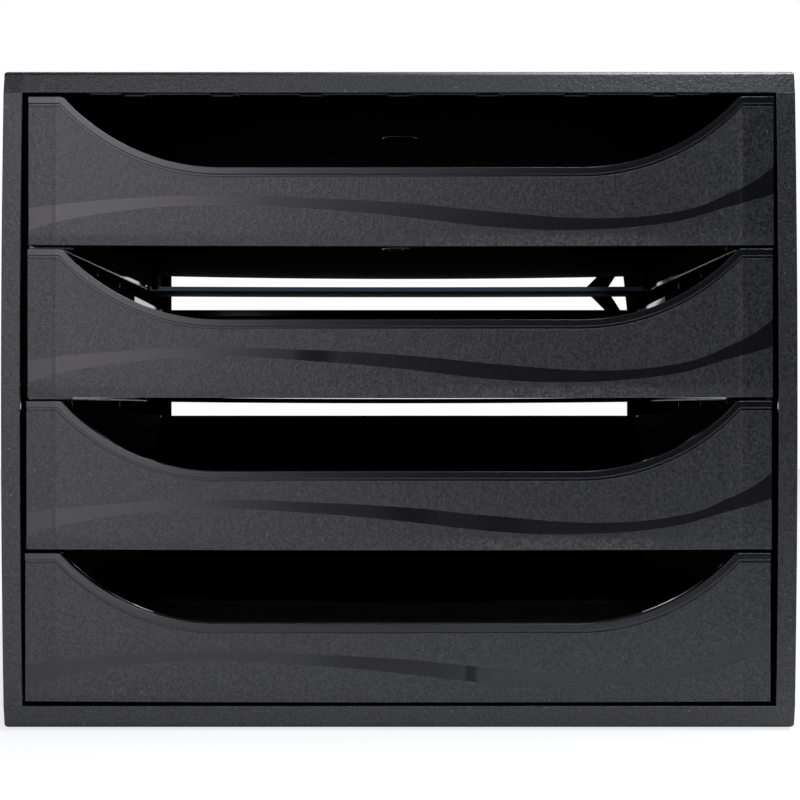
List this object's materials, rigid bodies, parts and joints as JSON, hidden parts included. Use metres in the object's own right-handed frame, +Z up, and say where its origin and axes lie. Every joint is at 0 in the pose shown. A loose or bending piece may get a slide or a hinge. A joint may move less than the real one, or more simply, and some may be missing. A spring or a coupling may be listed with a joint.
{
  "type": "letter tray stack with drawers",
  "caption": "Desk letter tray stack: a moulded plastic housing with an open back and full-width drawers for paper and folders, each with a scooped front to reach in and pull it out.",
  "frame": {"origin": "middle of the footprint, on the surface that the feet stand on", "axes": "+X to the right seen from the front, +Y to the back, +Z up; the drawers open towards -Y"},
  "size_m": [0.284, 0.348, 0.235],
  "materials": {
    "housing_plastic": "fine-grained black polystyrene, satin",
    "drawer_plastic": "black polystyrene, grained face with a polished rim and wave stripe, glossy inside",
    "shelf_plastic": "glossy black polystyrene",
    "rubber": "matt black rubber"
  },
  "bodies": {
    "housing": {"top_panel": "housing_plastic", "bottom_panel": "housing_plastic", "side_panel_left": "housing_plastic", "side_panel_right": "housing_plastic", "rear_shelf_upper": "shelf_plastic", "rear_shelf_middle": "shelf_plastic", "rear_shelf_lower": "shelf_plastic", "foot_front_left": "rubber", "foot_front_right": "rubber", "foot_rear_left": "rubber", "foot_rear_right": "rubber"},
    "drawer_1": {"drawer_1": "drawer_plastic"},
    "drawer_2": {"drawer_2": "drawer_plastic"},
    "drawer_3": {"drawer_3": "drawer_plastic"},
    "drawer_4": {"drawer_4": "drawer_plastic"}
  },
  "joints": [
    {"name": "drawer_1_slide", "type": "slide", "parent": "housing", "child": "drawer_1", "axis": [0, -1, 0], "range_m": [0, 0.27]},
    {"name": "drawer_2_slide", "type": "slide", "parent": "housing", "child": "drawer_2", "axis": [0, -1, 0], "range_m": [0, 0.27]},
    {"name": "drawer_3_slide", "type": "slide", "parent": "housing", "child": "drawer_3", "axis": [0, -1, 0], "range_m": [0, 0.27]},
    {"name": "drawer_4_slide", "type": "slide", "parent": "housing", "child": "drawer_4", "axis": [0, -1, 0], "range_m": [0, 0.27]}
  ]
}
